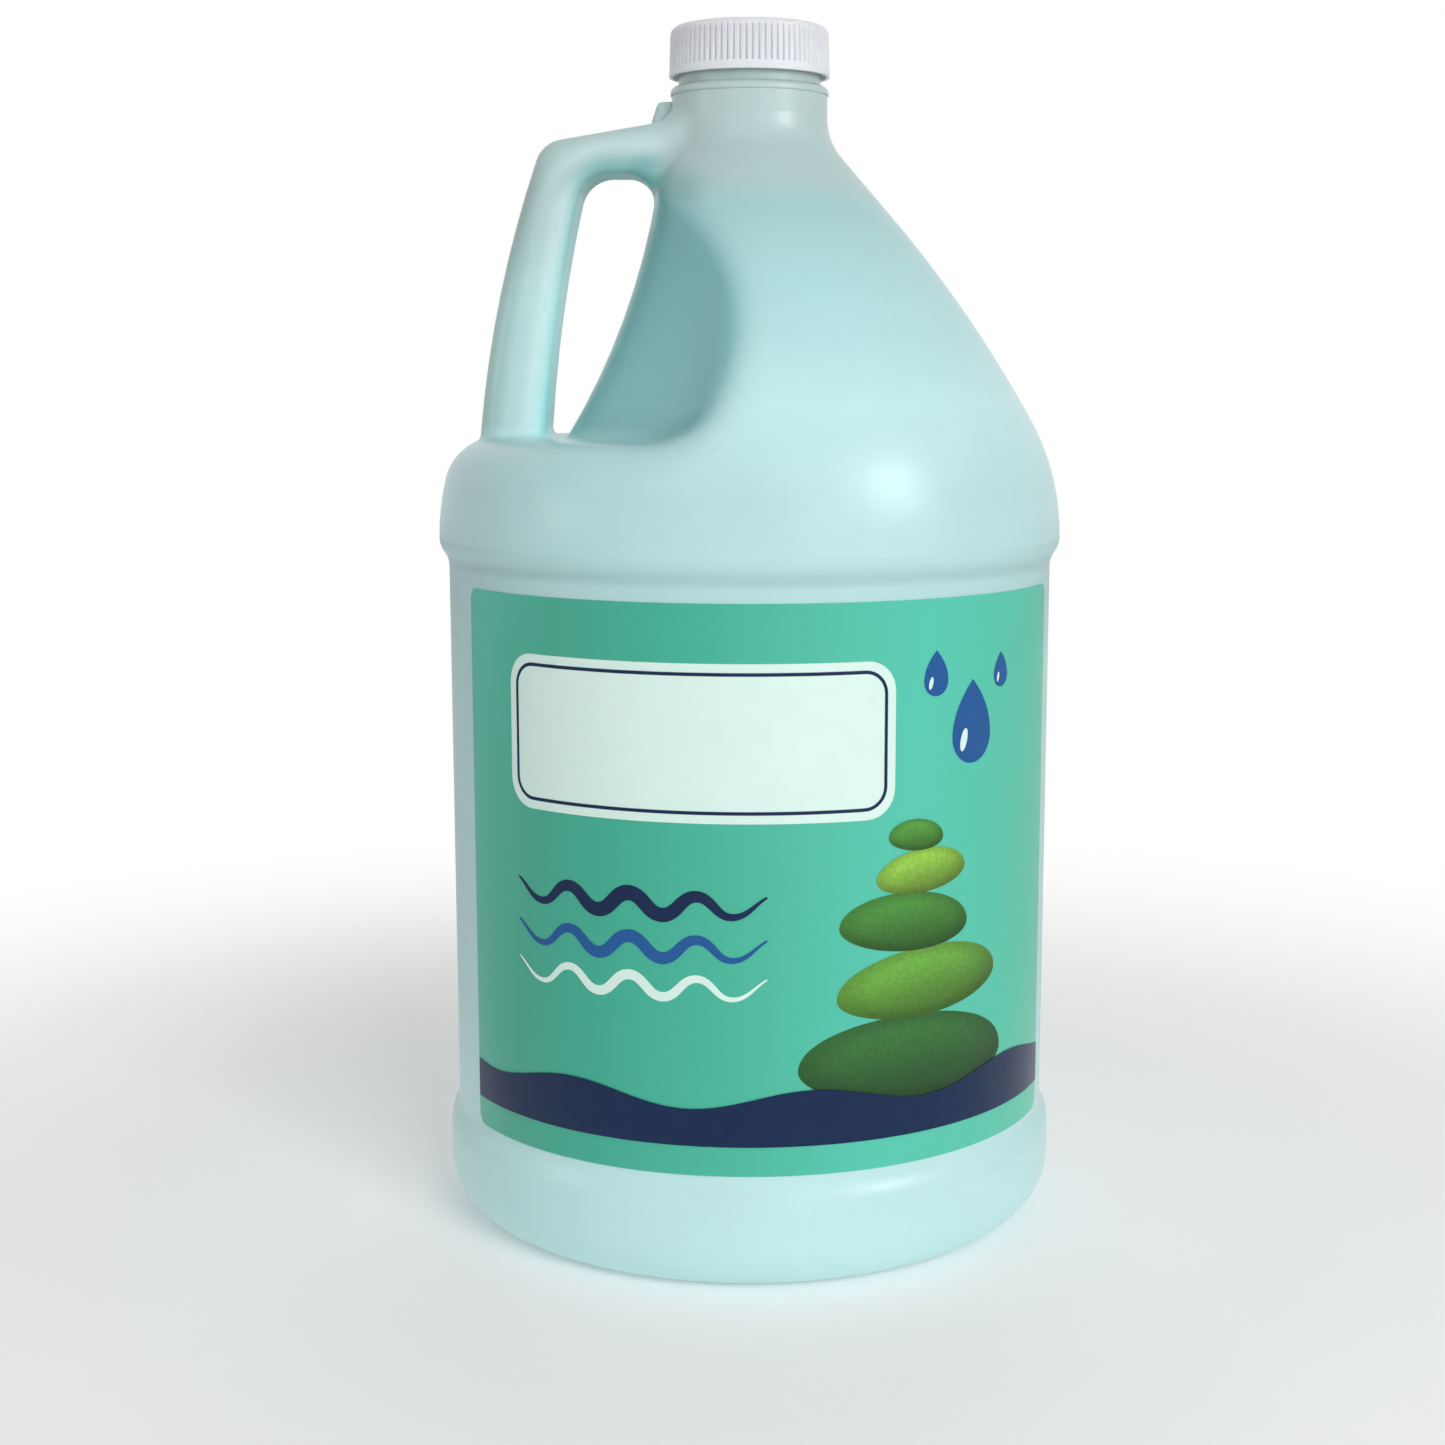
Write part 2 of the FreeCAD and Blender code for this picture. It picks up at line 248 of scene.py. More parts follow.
def soft_oval(tree, place, middle, half_width, half_height, core, strength):
    """A mask round a point, seen from the front; it is full in the core and fades to the edge."""
    off = add(tree, "ShaderNodeVectorMath", {0: place, 1: [v * MM for v in middle]},
              operation="SUBTRACT")
    share = add(tree, "ShaderNodeVectorMath",
                {0: off.outputs[0], 1: (1 / (half_width * MM), 0, 1 / (half_height * MM))},
                operation="MULTIPLY")
    out = add(tree, "ShaderNodeVectorMath", {0: share.outputs[0]}, operation="LENGTH")
    mask = add(tree, "ShaderNodeMapRange",
               {"Value": out.outputs["Value"], "From Min": 1.0, "From Max": core,
                "To Max": strength}, interpolation_type="SMOOTHSTEP")
    return mask.outputs[0]


def shaded(tree, mask, colour, factor):
    """A colour that is multiplied by a factor where the mask is full."""
    darker = add(tree, "ShaderNodeVectorMath", {0: colour, 1: factor}, operation="MULTIPLY")
    mixed = add(tree, "ShaderNodeMix", {0: mask, 4: colour, 5: darker.outputs[0]},
                data_type="VECTOR")
    return mixed.outputs[1]


print("tints and zones are given in millimetres, which are", MM, "m")

# %% [markdown]
# The bottle is natural high-density polyethylene. It is milky, so the lotion tints it from behind:
# mint below the fill line and greyer above it. Glass-like transmission with a liquid inside would
# be slow and noisy, and on a wall this cloudy it looks the same as a tinted solid, so the tint is
# painted by height. Its steps on the shoulder and the cone are also painted light and shade, set to
# how light falls there, the neck's finish is painted lighter against the shadow under the cap, and
# a narrow darker band in the hollow under the shoulder's step is painted shade in that crease. The
# extruded tube leaves faint upright die lines, and the wall varies slightly in thickness. Real die
# lines are too fine to show here, so they are drawn two millimetres apart.

# %% Milky polyethylene
FILL_BLUR = 1.7
hdpe, tree, shader = new_material("milky_hdpe_blow_moulded")
place = add(tree, "ShaderNodeTexCoord").outputs["Object"]
spot = add(tree, "ShaderNodeSeparateXYZ", {0: place})
across, to_back, height = spot.outputs["X"], spot.outputs["Y"], spot.outputs["Z"]
jug_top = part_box("jug_body")[1].z / MM
fill_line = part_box("lotion_fill")[1].z / MM
# Painted light and shade in the height tint: the shoulder and cone steps follow how light falls,
# the neck's finish is lighter against the shadow under the cap, and the band at 165 mm is painted
# shade in the crease under the shoulder's step.
tint = tint_along(tree, height, (
    (0, "BFE6E6"), (120, "BBE1E1"), (157, "B5D9DA"), (163.4, "B4D8D9"), (165.2, "A4C7C8"),
    (167.2, "B8DDDE"), (183, "B4DADB"), (203, "C0E9EA"), (233, "AEDBDC"),
    (fill_line - FILL_BLUR, "A8D1D2"), (fill_line + FILL_BLUR, "AFCBCB"), (279, "B4CAC8"),
    (jug_top, "C2D4CC")))
cloud = add(tree, "ShaderNodeTexNoise", {"Vector": place, "Scale": 1 / (28 * MM), "Detail": 3})
die_space = add(tree, "ShaderNodeMapping", {"Vector": place, "Scale": (1, 1, 0.012)})
die_lines = add(tree, "ShaderNodeTexNoise",
                {"Vector": die_space.outputs[0], "Scale": 1 / (2.2 * MM), "Detail": 2})
wall = add(tree, "ShaderNodeMath", {0: die_lines.outputs[0], 1: 0.35, 2: cloud.outputs[0]},
           operation="MULTIPLY_ADD")
wall_tone = add(tree, "ShaderNodeMapRange",
                {"Value": wall.outputs[0], "From Min": 0.4, "From Max": 0.95,
                 "To Min": 0.98, "To Max": 1.02})
print(hdpe.name, "changes tint at", round(fill_line, 1), "mm")

# %% [markdown]
# Where the mould pinches the body for the fingers, the wall lies in shade behind the handle, and
# that shade is painted in as a deep blue-green. The shader has to know how far the skin lies inside
# the cone that the body would otherwise be, and it can't look at another part of the mesh. So the
# cone's radius is measured at nine heights on the plain side, and a colour ramp keeps the nine
# lengths as a table.

# %% The plain cone
CONE_LOW, CONE_HIGH, CONE_LEVELS = 190 * MM, 268 * MM, 9
TABLE_SCALE = 10
up_cone = add(tree, "ShaderNodeMapRange",
              {"Value": height, "From Min": CONE_LOW, "From Max": CONE_HIGH})
table = add(tree, "ShaderNodeValToRGB", {"Fac": up_cone.outputs[0]})
stops = table.color_ramp.elements
for index in range(1, CONE_LEVELS - 1):
    stops.new(index / (CONE_LEVELS - 1))
jug_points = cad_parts["jug_body"].data.vertices
plain_side = [vertex.co for vertex in jug_points if vertex.co.x > 10 * MM]
for stop in stops:
    level = CONE_LOW + (CONE_HIGH - CONE_LOW) * stop.position
    wide = max(math.hypot(co.x, co.y) for co in plain_side if abs(co.z - level) < 1.5 * MM)
    stop.color = [TABLE_SCALE * wide] * 3 + [1]
    print("cone at", round(level / MM), "mm is", round(wide / MM, 1), "mm from the axis")
cone = add(tree, "ShaderNodeMath", {0: table.outputs[0], 1: 1 / TABLE_SCALE}, operation="MULTIPLY")
flat = add(tree, "ShaderNodeCombineXYZ", {"X": across, "Y": to_back})
radius = add(tree, "ShaderNodeVectorMath", {0: flat.outputs[0]}, operation="LENGTH")
depth = add(tree, "ShaderNodeMath", {0: cone.outputs[0], 1: radius.outputs["Value"]},
            operation="SUBTRACT").outputs[0]

# %% [markdown]
# The painted shade deepens with the distance from the cone, less so at the web by the gap, where
# light gets in from both sides. A soft oval paints the same shade under the root of the arch.

# %% Painted shade in the pocket
# Painted shade: the pocket and the root of the arch are darkened to a deep blue-green, less at the
# web.
POCKET_SHADE, WEB_SHADE = (0.46, 0.67, 0.68), (0.92, 0.89, 0.87)
above_floor = (height, 192, 199)
pocket = zone(tree, (depth, 0.3, 4.5), (across, -50, -43), above_floor)
arch_root_shade = soft_oval(tree, place, (-22, 0, 252.5), 16, 11, core=0.3, strength=0.75)
pocket_shade_mask = add(tree, "ShaderNodeMath", {0: pocket, 1: arch_root_shade}, operation="MAXIMUM").outputs[0]
off_seam = add(tree, "ShaderNodeMath", {0: to_back}, operation="ABSOLUTE").outputs[0]
pocket_shade_factor = add(tree, "ShaderNodeMix",
           {0: zone(tree, (off_seam, 26, 12)), 4: POCKET_SHADE, 5: WEB_SHADE}, data_type="VECTOR")
body_tint_and_shade = shaded(tree, pocket_shade_mask, tint, pocket_shade_factor.outputs[1])
print("the body's tint uses", len(tree.nodes), "nodes")

# %% [markdown]
# The handle is a tube full of lotion. Its colour is the lotion's mint with painted light and shade
# that run outwards from the gap: a painted glow where light comes through it from the back,
# brightest near the gap, a painted highlight down the middle and painted shade outside. For that
# the shader needs the distance from the gap's edge, which is a leaning side, a level top and a
# round corner between them. Measured from the corner's centre, the parts that lie inwards count as
# nothing, and the length of the rest, less the corner's radius, is that distance.

# %% Distance from the gap
GAP_LEAN, GAP_SIDE, GAP_TOP, GAP_CORNER = 0.1635, -83, 256, 8
leaning = add(tree, "ShaderNodeMath", {0: height, 1: -GAP_LEAN, 2: across},
              operation="MULTIPLY_ADD").outputs[0]
beside = add(tree, "ShaderNodeMath", {0: (GAP_CORNER + GAP_SIDE) * MM, 1: leaning},
             operation="SUBTRACT")
over = add(tree, "ShaderNodeMath", {0: height, 1: (GAP_TOP - GAP_CORNER) * MM},
           operation="SUBTRACT")
corner = add(tree, "ShaderNodeCombineXYZ", {"X": beside.outputs[0], "Z": over.outputs[0]})
outside = add(tree, "ShaderNodeVectorMath", {0: corner.outputs[0], 1: (0, 0, 0)},
              operation="MAXIMUM").outputs[0]
reach = add(tree, "ShaderNodeVectorMath", {0: outside}, operation="LENGTH")
from_gap = add(tree, "ShaderNodeMath", {0: reach.outputs["Value"], 1: GAP_CORNER * MM},
               operation="SUBTRACT").outputs[0]
past = add(tree, "ShaderNodeSeparateXYZ", {0: outside}).outputs
both = add(tree, "ShaderNodeMath", {0: past["X"], 1: past["Z"]}, operation="ADD")
turned = add(tree, "ShaderNodeMath", {0: past["Z"], 1: both.outputs[0]}, operation="DIVIDE")
print("the gap leans by", round(math.degrees(math.atan(GAP_LEAN)), 1), "degrees")

# %% [markdown]
# The leg is clear mint at the gap, pale in the middle and greyer outside: a painted glow, a painted
# highlight stripe and painted shade. It also turns a little darker towards its top. Under the arch
# the gap's edge gets painted shade, and so does the place where the arch joins the body; a painted
# highlight runs along the arch's upper front. Both rows of colours run by the same distance and
# blend round the corner, so no seam shows where the leg meets the arch.

# %% Handle tint with painted light and shade
# Painted light across the leg: a glow at the gap, a highlight stripe in the middle, shade outside.
leg_tint_and_painted_light = tint_along(tree, from_gap, (
    (-0.5, "A8F0F0"), (1, "CAF6F6"), (2.5, "CEF2F2"), (4.2, "D1EEED"), (6.5, "BFE0E0"),
    (8.9, "B9D9DA"), (10.8, "A9CFCD"), (12, "A6CAC6"), (16, "A8CDCA")))
leg_tint_and_painted_light = shaded(tree, zone(tree, (height, 225, 250)), leg_tint_and_painted_light, (0.88, 0.84, 0.84))
# Painted shade under the arch, with a painted highlight along its upper front.
arch_tint_and_painted_light = tint_along(tree, from_gap, (
    (-2, "8FD8D2"), (2.5, "9CD2CF"), (5, "98C3C3"), (6.7, "B0CDCC"), (8.6, "C0DBDA"),
    (12, "B6D3D1")))
round_corner = add(tree, "ShaderNodeMapRange",
                   {"Value": turned.outputs[0], "From Min": 0.15, "From Max": 0.75},
                   interpolation_type="SMOOTHSTEP")
handle_tint_and_painted_light = add(tree, "ShaderNodeMix", {0: round_corner.outputs[0], 4: leg_tint_and_painted_light, 5: arch_tint_and_painted_light},
                  data_type="VECTOR").outputs[1]
# Painted shade where the arch joins the body.
joint_shade = soft_oval(tree, place, (-24, 0, 258), 8, 6, core=0.2, strength=0.7)
handle_tint_and_painted_light = shaded(tree, joint_shade, handle_tint_and_painted_light, (0.62, 0.74, 0.75))
on_leg = zone(tree, (leaning, -80, -84), above_floor)
on_arch = zone(tree, (across, -17, -25), (height, 253, 255.5))
on_handle = add(tree, "ShaderNodeMath", {0: on_leg, 1: on_arch}, operation="MAXIMUM")
whole = add(tree, "ShaderNodeMix", {0: on_handle.outputs[0], 4: body_tint_and_shade, 5: handle_tint_and_painted_light},
            data_type="VECTOR")
colour = add(tree, "ShaderNodeVectorMath", {0: whole.outputs[1], 1: wall_tone.outputs[0]},
             operation="MULTIPLY")
tree.links.new(colour.outputs[0], shader.inputs["Base Color"])
print("the whole tint uses", len(tree.nodes), "nodes")

# %% [markdown]
# The mould gives a satin skin with a very fine grain, drawn at just under a millimetre so that it
# shows. The walls inside the handle's gap face each other and not the bright room, so their gloss
# is taken back.

# %% Satin skin
PLAIN_GLOSS, GAP_GLOSS = 0.5, 0.05
skin = add(tree, "ShaderNodeTexNoise", {"Vector": place, "Scale": 1 / (0.9 * MM), "Detail": 1})
satin = add(tree, "ShaderNodeMapRange", {"Value": skin.outputs[0], "To Min": 0.28, "To Max": 0.36})
relief = add(tree, "ShaderNodeMath", {0: die_lines.outputs[0], 1: 0.4, 2: skin.outputs[0]},
             operation="MULTIPLY_ADD")
bump = add(tree, "ShaderNodeBump",
           {"Height": relief.outputs[0], "Strength": 0.08, "Distance": 0.06 * MM})
normal = add(tree, "ShaderNodeNewGeometry").outputs["Normal"]
facing = add(tree, "ShaderNodeSeparateXYZ", {0: normal})
to_front = add(tree, "ShaderNodeMath", {0: facing.outputs["Y"]}, operation="ABSOLUTE")
turned_in = add(tree, "ShaderNodeMapRange",
                {"Value": to_front.outputs[0], "From Min": 0.6, "From Max": 0.3},
                interpolation_type="SMOOTHSTEP")
near_gap = zone(tree, (leaning, -88, -86), (across, -21, -24), (height, 196, 199),
                (height, 262, 259))
in_gap = add(tree, "ShaderNodeMath", {0: turned_in.outputs[0], 1: near_gap}, operation="MULTIPLY")
gloss = add(tree, "ShaderNodeMapRange",
            {"Value": in_gap.outputs[0], "To Min": PLAIN_GLOSS, "To Max": GAP_GLOSS})
tree.links.new(satin.outputs[0], shader.inputs["Roughness"])
tree.links.new(bump.outputs[0], shader.inputs["Normal"])
tree.links.new(gloss.outputs[0], shader.inputs["Specular IOR Level"])
shader.inputs["IOR"].default_value = 1.54
dress(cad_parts["jug_body"], hdpe)
print(hdpe.name, "has", len(tree.nodes), "nodes")

# %% [markdown]
# The cap is white polypropylene, injection-moulded, with a satin skin that was finely eroded in the
# steel mould. Its ribs are in the CAD solid, so the finish only needs the fine grain and a little
# unevenness in colour and gloss. Light spreads by a millimetre or two inside such a plastic, which
# softens the shade between the ribs.

# %% White polypropylene
def cloudy(tree, place, size, first, last, **noise):
    """A colour that wanders between two, over patches of a size in millimetres."""
    patches = add(tree, "ShaderNodeTexNoise", {"Vector": place, "Scale": 1 / (size * MM), **noise})
    ramp = add(tree, "ShaderNodeValToRGB", {"Fac": patches.outputs[0]})
    ramp.color_ramp.elements[0].color = paint(first)
    ramp.color_ramp.elements[1].color = paint(last)
    return ramp.outputs[0]


polypropylene, tree, shader = new_material("white_polypropylene_moulded")
place = add(tree, "ShaderNodeTexCoord").outputs["Object"]
white = cloudy(tree, place, 9, "E5E8F1", "ECEFF8", Detail=2)
grain = add(tree, "ShaderNodeTexNoise", {"Vector": place, "Scale": 1 / (0.5 * MM), "Detail": 2})
satin = add(tree, "ShaderNodeMapRange", {"Value": grain.outputs[0], "To Min": 0.36, "To Max": 0.5})
bump = add(tree, "ShaderNodeBump",
           {"Height": grain.outputs[0], "Strength": 0.15, "Distance": 0.05 * MM})
tree.links.new(white, shader.inputs["Base Color"])
tree.links.new(satin.outputs[0], shader.inputs["Roughness"])
tree.links.new(bump.outputs[0], shader.inputs["Normal"])
shader.inputs["IOR"].default_value = 1.49
shader.inputs["Subsurface Weight"].default_value = 1.0
shader.inputs["Subsurface Radius"].default_value = (1, 1, 1)
shader.inputs["Subsurface Scale"].default_value = 2 * MM
dress(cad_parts["screw_cap"], polypropylene)
print(polypropylene.name, "has", len(tree.nodes), "nodes")

# %% [markdown]
# The liner is a disc of foamed polyethylene that seals the mouth. Its cells are about a third of a
# millimetre across and cut open at the surface, which makes it matt. Voronoi cells are round like
# those, where a noise would look like dust.

# %% Liner foam
foam, tree, shader = new_material("polyethylene_foam")
place = add(tree, "ShaderNodeTexCoord").outputs["Object"]
cells = add(tree, "ShaderNodeTexVoronoi", {"Vector": place, "Scale": 1 / (0.35 * MM)})
cream = add(tree, "ShaderNodeValToRGB", {"Fac": cells.outputs["Distance"]})
cream.color_ramp.elements[0].color = paint("E4E3DC")
cream.color_ramp.elements[1].color = paint("F1F0EA")
bump = add(tree, "ShaderNodeBump",
           {"Height": cells.outputs["Distance"], "Strength": 0.5, "Distance": 0.1 * MM})
tree.links.new(cream.outputs[0], shader.inputs["Base Color"])
tree.links.new(bump.outputs[0], shader.inputs["Normal"])
shader.inputs["Roughness"].default_value = 0.85
dress(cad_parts["cap_liner"], foam)
print(foam.name, "has", len(tree.nodes), "nodes")

# %% [markdown]
# The lotion is a smooth, wet emulsion. It only shows through the mouth, with the cap off, so a soft
# mint colour with slow swirls and a clear gloss is enough.

# %% Lotion
lotion, tree, shader = new_material("mint_lotion")
place = add(tree, "ShaderNodeTexCoord").outputs["Object"]
mint = cloudy(tree, place, 30, "A9DCDA", "B4E4E2", Detail=2, Distortion=1.5)
tree.links.new(mint, shader.inputs["Base Color"])
shader.inputs["Roughness"].default_value = 0.18
shader.inputs["IOR"].default_value = 1.4
dress(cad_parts["lotion_fill"], lotion)
print(lotion.name, "has", len(tree.nodes), "nodes")

# %% [markdown]
# The label is a printed polypropylene film under a gloss varnish. The ground is mint green, a
# little deeper left of the middle, on a slight slant. The varnish is not quite flat on a
# squeezable wall, which gives its reflections a slow waver. The inks lie under the same varnish.

# %% Label film
GROUND_SLANT = 0.1
VARNISH_ROUGHNESS = 0.24


def varnish(tree, shader, place):
    """The gloss over the print, with a slow waver."""
    waver = add(tree, "ShaderNodeTexNoise", {"Vector": place, "Scale": 1 / (22 * MM), "Detail": 1})
    bump = add(tree, "ShaderNodeBump",
               {"Height": waver.outputs[0], "Strength": 0.25, "Distance": 0.25 * MM})
    tree.links.new(bump.outputs[0], shader.inputs["Normal"])
    shader.inputs["Roughness"].default_value = VARNISH_ROUGHNESS


film, tree, shader = new_material("varnished_polypropylene_film")
place = add(tree, "ShaderNodeTexCoord").outputs["Object"]
spot = add(tree, "ShaderNodeSeparateXYZ", {0: place}).outputs
slant = add(tree, "ShaderNodeMath", {0: spot["Z"], 1: -GROUND_SLANT, 2: spot["X"]},
            operation="MULTIPLY_ADD")
ground = tint_along(tree, slant.outputs[0], (
    (-77, "53C0A8"), (-60, "42A98F"), (-40, "3AAC91"), (-3, "47B79C"), (25, "52C5AD"),
    (52, "53C6A9")))
tree.links.new(ground, shader.inputs["Base Color"])
varnish(tree, shader, place)
shader.inputs["IOR"].default_value = 1.49
dress(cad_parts["label"], film)
print(film.name, "has", len(tree.nodes), "nodes")

# %% [markdown]
# From here on, pieces are modelled as by hand. A few helpers do what the mouse would: drop the last
# selection, go to edit mode with the points of a certain place picked, apply a modifier, and give
# the finished piece its material and tie it to the body that carries it.

# %% Modelling helpers
SHARP_FROM = math.radians(40)


def fresh():
    """Nothing selected, so that the next operator acts on the new piece alone."""
    bpy.ops.object.select_all(action="DESELECT")


def pick(piece, test):
    """Edit mode, with the points selected whose place passes the test."""
    bpy.ops.object.mode_set(mode="EDIT")
    bpy.ops.mesh.select_mode(type="VERT")
    bpy.ops.mesh.select_all(action="DESELECT")
    bpy.ops.object.mode_set(mode="OBJECT")
    for vertex in piece.data.vertices:
        vertex.select = test(vertex.co)
    bpy.ops.object.mode_set(mode="EDIT")


def modify(piece, kind, **settings):
    """A modifier with its settings, applied at once."""
    modifier = piece.modifiers.new(kind.lower(), kind)
    for name, value in settings.items():
        setattr(modifier, name, value)
    bpy.ops.object.modifier_apply(modifier=modifier.name)


def settle(piece, name, body, material):
    """Names the piece, sets its transform into the mesh, and hangs it on its body."""
    piece.name = name
    bpy.ops.object.transform_apply(location=True, rotation=True, scale=True)
    bpy.ops.object.mode_set(mode="EDIT")
    bpy.ops.mesh.select_all(action="SELECT")
    bpy.ops.mesh.normals_make_consistent(inside=False)
    bpy.ops.object.mode_set(mode="OBJECT")
    bpy.ops.object.shade_smooth_by_angle(angle=SHARP_FROM)
    dress(piece, material)
    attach(piece, body)
    print(name, "has", len(piece.data.polygons), "faces and rides on the", body)


print("edges turn sharp from", round(math.degrees(SHARP_FROM)), "degrees")

# %% [markdown]
# The neck and the cap hold together by a thread of six turns to the inch, one bead on the neck and
# one in the cap. A thread is a small flat profile wound up round the axis. The Screw modifier does
# just that, so the profile is drawn as a plane, its crest edge is narrowed, and the modifier winds
# it. Then the first and last rings of the winding are drawn back, so that each end sinks into its
# wall.

# %% Winding a thread
PITCH = 25.4 / 6 * MM
RINGS_A_TURN = 96
RUN_OUT = 12
TOUCHING = 0.01 * MM
STANDING = (math.pi / 2, 0, 0)


def rings_of(bead):
    """The ring of the winding that the point at each place belongs to."""
    return {vertex.co.copy().freeze(): vertex.index // 4 for vertex in bead.data.vertices}


def thread(root, crest, root_width, crest_width, start, turns):
    """A wound bead from the root radius to the crest radius, rising as it turns."""
    fresh()
    bpy.ops.mesh.primitive_plane_add(size=1, location=((root + crest) / 2, 0, start),
                                     rotation=STANDING)
    bead = bpy.context.object
    bead.scale = (abs(crest - root), root_width, 1)
    bpy.ops.object.transform_apply(location=True, rotation=True, scale=True)
    pick(bead, lambda co: abs(co.x - crest) < TOUCHING)
    bpy.ops.transform.resize(value=(1, 1, crest_width / root_width),
                             center_override=(crest, 0, start))
    bpy.ops.object.mode_set(mode="OBJECT")
    steps = round(turns * RINGS_A_TURN)
    modify(bead, "SCREW", angle=turns * 2 * math.pi, screw_offset=turns * PITCH, steps=steps,
           render_steps=steps)
    for ring in range(RUN_OUT):
        sunk = crest + (root - crest) * (1 - ring / RUN_OUT) ** 2
        ends = (ring, steps - ring)
        rings = rings_of(bead)
        pick(bead, lambda co: rings[co.copy().freeze()] in ends
             and abs(math.hypot(co.x, co.y) - crest) < TOUCHING)
        bpy.ops.transform.resize(value=(sunk / crest, sunk / crest, 1), center_override=(0, 0, 0))
        bpy.ops.object.mode_set(mode="OBJECT")
    bpy.ops.object.mode_set(mode="EDIT")
    bpy.ops.mesh.select_all(action="SELECT")
    bpy.ops.mesh.fill_holes(sides=4)
    bpy.ops.object.mode_set(mode="OBJECT")
    return bead


print("the thread rises", round(PITCH / MM, 2), "mm a turn")

# %% [markdown]
# The neck's thread starts below the mouth by about the rise of two turns and winds a little more
# than once. The cap's thread lies half a turn's rise above it, so that the two slide past each
# other when the cap turns.

# %% Two threads
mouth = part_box("cap_liner")[0].z
neck_start = mouth - 8.4 * MM
neck_thread = thread(17.1 * MM, 18.5 * MM, 2.4 * MM, 1.0 * MM, neck_start, turns=1.3)
settle(neck_thread, "neck_thread", "jug", hdpe)
cap_thread = thread(18.8 * MM, 17.65 * MM, 1.6 * MM, 0.7 * MM, neck_start + PITCH / 2, turns=1.1)
settle(cap_thread, "cap_thread", "cap", polypropylene)

# %% [markdown]
# The mould's two halves meet in the plane of the handle and leave a fine raised line on both sides
# and over the arch. Drawing that line by hand would be guesswork on such a curved body, so a narrow
# strip is hung beside the jug and the Shrinkwrap modifier throws it onto the skin. Solidify gives
# it its height, a tenth of a millimetre, and Bevel rounds its edges. The widest ring rubs on other
# jugs in the carton, so the line is worn flush there, and the dressed jug keeps the size of the CAD
# model.

# %% Parting lines
LINE_WIDTH, LINE_SINK, LINE_WALL, LINE_EDGE = 0.8 * MM, 0.05 * MM, 0.3 * MM, 0.08 * MM
UPRIGHT, LEVEL = (0, -math.pi / 2, 0), (0, 0, 0)


def parting_line(name, middle, length, turn, axis):
    """A strip thrown onto the jug along one axis, then thickened and rounded."""
    fresh()
    bpy.ops.mesh.primitive_grid_add(x_subdivisions=round(length / LINE_WIDTH), y_subdivisions=2,
                                    size=1, location=middle, rotation=turn)
    strip = bpy.context.object
    strip.scale = (length, LINE_WIDTH, 1)
    bpy.ops.object.transform_apply(location=True, rotation=True, scale=True)
    modify(strip, "SHRINKWRAP", target=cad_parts["jug_body"], wrap_method="PROJECT",
           wrap_mode="ON_SURFACE", offset=-LINE_SINK, use_negative_direction=True,
           use_positive_direction=True, **{"use_project_" + axis: True})
    modify(strip, "SOLIDIFY", thickness=LINE_WALL, offset=0)
    modify(strip, "BEVEL", width=LINE_EDGE, segments=2, limit_method="ANGLE",
           angle_limit=math.radians(60))
    for vertex in strip.data.vertices:
        vertex.co.x = min(max(vertex.co.x, cad_box[0][0]), cad_box[1][0])
    settle(strip, name, "jug", hdpe)


parting_line("parting_line_right", (0.1, 0, 0.1415), 0.27, UPRIGHT, "x")
parting_line("parting_line_handle", (-0.1, 0, 0.136), 0.259, UPRIGHT, "x")
parting_line("parting_line_arch", (-0.0365, 0, 0.32), 0.021, LEVEL, "z")

# %% [markdown]
# The label's print is bare of words: a pale panel, a few painted waves, drops and a pile of stones
# in navy water. It could be painted with shader nodes, but edges drawn that way blur when they are
# baked, so each ink is a thin sheet. The art is drawn flat, with X along the film and Z up,
# thickened to an ink layer of a fiftieth of a millimetre, and bent round the jug's axis by Simple
# Deform. Later inks lie a little further out.

# %% Laying flat art on the film
INK = 0.02 * MM
STRIP = 2.5 * MM
label_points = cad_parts["label"].data.vertices
film_radius = max(math.hypot(vertex.co.x, vertex.co.y) for vertex in label_points)
film_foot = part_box("label")[0].z


def cut_strips(piece):
    """Cuts flat art into upright strips, so that it can bend."""
    along = [vertex.co.x for vertex in piece.data.vertices]
    bpy.ops.object.mode_set(mode="EDIT")
    for index in range(math.ceil(min(along) / STRIP), math.ceil(max(along) / STRIP)):
        bpy.ops.mesh.select_all(action="SELECT")
        bpy.ops.mesh.bisect(plane_co=(index * STRIP, 0, 0), plane_no=(1, 0, 0))
    bpy.ops.object.mode_set(mode="OBJECT")


def lay_on_film(piece, name, layer, ink):
    """Wraps flat art round the film, two ink layers further out for each layer."""
    along = [vertex.co.x for vertex in piece.data.vertices]
    radius = film_radius + layer * 2 * INK
    modify(piece, "SIMPLE_DEFORM", deform_method="BEND", deform_axis="Z",
           angle=(max(along) - min(along)) / radius)
    piece.location.y = -radius
    settle(piece, name, "jug", ink)


print("film radius", round(film_radius / MM, 2), "mm")

# %% [markdown]
# Screen inks are flat colours under the film's varnish. A single colour would look like plastic, so
# each ink has the faint cloudiness of a print.

# %% Screen inks
INK_GLOSS = 0.3


def printed_ink(name, first, last):
    """An ink under the film's varnish that wanders between two close colours."""
    material, tree, shader = new_material(name)
    place = add(tree, "ShaderNodeTexCoord").outputs["Object"]
    tree.links.new(cloudy(tree, place, 6, first, last, Detail=4), shader.inputs["Base Color"])
    varnish(tree, shader, place)
    shader.inputs["Specular IOR Level"].default_value = INK_GLOSS
    print(name)
    return material


navy_ink = printed_ink("navy_screen_ink", "06264F", "041F44")
blue_ink = printed_ink("blue_screen_ink", "1F5B9E", "1A528F")
pale_ink = printed_ink("pale_mint_ink", "D3EFE6", "DDF3EC")

# %% [markdown]
# The panel is a plane whose corners are rounded by a bevel of its points. Its keyline starts as the
# same plane, a little smaller: an inset leaves a narrow ring, and the middle is deleted.

